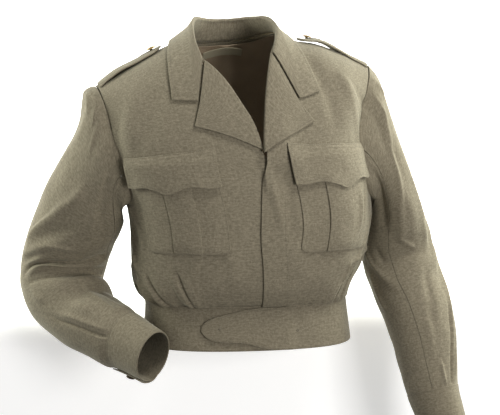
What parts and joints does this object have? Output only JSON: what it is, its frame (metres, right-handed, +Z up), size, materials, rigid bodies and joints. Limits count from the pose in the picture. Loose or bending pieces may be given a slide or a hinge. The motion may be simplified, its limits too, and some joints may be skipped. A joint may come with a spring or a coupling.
{
  "type": "short wool jacket",
  "caption": "Short waist-length wool jacket, filled out as worn, with turned collar, flapped patch pockets, shoulder straps, fitted waistband and one bent sleeve.",
  "frame": {"origin": "the place between the shoulders, just under the neck, where the wearer's body carries the jacket", "axes": "+X to the wearer's left, -Y out of the front, +Z up"},
  "size_m": [0.7083, 0.2877, 0.6875],
  "materials": {
    "wool_serge": "matte heathered wool serge",
    "waistband_wool": "matte heathered wool serge, pressed flat",
    "lining": "smooth dark brown lining",
    "brass_button": "worn gilt brass",
    "cuff_button": "dull brown plastic"
  },
  "bodies": {
    "root": {"front_right": "wool_serge", "front_left": "wool_serge", "back": "wool_serge", "waistband": "waistband_wool", "lapel_right": "wool_serge", "lapel_left": "wool_serge", "collar": "wool_serge", "hanger_loop": "lining", "back_lining": "lining", "pocket_right": "wool_serge", "pocket_pleat_right": "wool_serge", "flap_right": "wool_serge", "strap_right": "wool_serge", "strap_button_right": "brass_button", "sleeve_upper_right": "wool_serge", "sleeve_under_right": "wool_serge", "cuff_right": "waistband_wool", "cuff_button_right": "cuff_button", "pocket_left": "wool_serge", "pocket_pleat_left": "wool_serge", "flap_left": "wool_serge", "strap_left": "wool_serge", "strap_button_left": "brass_button", "sleeve_upper_left": "wool_serge", "sleeve_under_left": "wool_serge", "cuff_left": "waistband_wool", "cuff_button_left": "cuff_button"}
  },
  "joints": []
}
